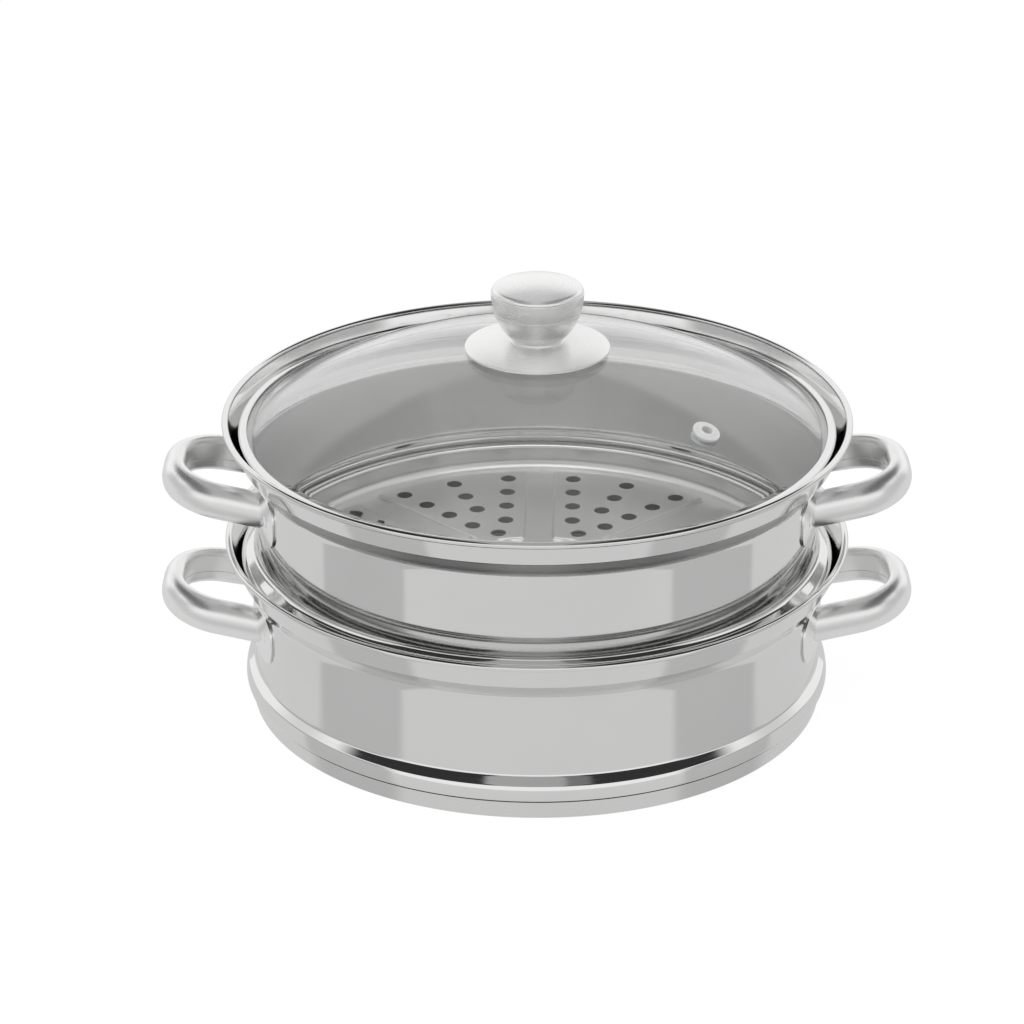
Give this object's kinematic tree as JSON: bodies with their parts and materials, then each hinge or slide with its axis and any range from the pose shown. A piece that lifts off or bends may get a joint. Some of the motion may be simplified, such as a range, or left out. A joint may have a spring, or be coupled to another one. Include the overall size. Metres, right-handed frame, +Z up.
{
  "type": "steamer pot",
  "caption": "Stainless steel steamer pot: capsule base, loop handles, a perforated steamer tier nested in its flared rim and a vented domed glass lid with a hollow steel knob.",
  "frame": {"origin": "middle of the underside of the base, on the surface that the pot stands on", "axes": "+Z up along the axis of the pot, the handles along X, +Y towards the back as the picture shows the pot"},
  "size_m": [0.3634, 0.3, 0.2106],
  "materials": {
    "polished_steel": "mirror-polished stainless steel sheet",
    "satin_steel": "satin stainless steel",
    "aluminium_core": "plain aluminium disc, hidden but for a thin line",
    "lid_glass": "clear tempered glass with a faint green-grey tint",
    "clear_silicone": "translucent silicone",
    "plain_steel": "plain stainless steel hardware"
  },
  "bodies": {
    "pot": {"pot_body": "polished_steel", "pot_base_cap": "satin_steel", "pot_base_core": "aluminium_core", "pot_handle_left": "satin_steel", "pot_bracket_left_front": "satin_steel", "pot_bracket_left_back": "satin_steel", "pot_handle_right": "satin_steel", "pot_bracket_right_front": "satin_steel", "pot_bracket_right_back": "satin_steel"},
    "steamer": {"steamer_body": "polished_steel", "steamer_handle_left": "satin_steel", "steamer_bracket_left_front": "satin_steel", "steamer_bracket_left_back": "satin_steel", "steamer_handle_right": "satin_steel", "steamer_bracket_right_front": "satin_steel", "steamer_bracket_right_back": "satin_steel"},
    "lid": {"lid_glass": "lid_glass", "lid_band": "polished_steel", "vent_eyelet": "polished_steel", "vent_bush": "clear_silicone", "knob_base_plate": "polished_steel", "knob_cup": "polished_steel", "knob_ring": "polished_steel", "knob_cap": "polished_steel", "knob_bush": "plain_steel", "knob_gasket": "clear_silicone", "inner_gasket": "clear_silicone", "inner_washer": "plain_steel", "lock_washer": "plain_steel", "knob_screw": "plain_steel"}
  },
  "joints": [
    {"name": "steamer_lift", "type": "slide", "parent": "pot", "child": "steamer", "axis": [0, 0, 1], "range_m": [0, 0.1]},
    {"name": "lid_lift", "type": "slide", "parent": "steamer", "child": "lid", "axis": [0, 0, 1], "range_m": [0, 0.08]}
  ]
}
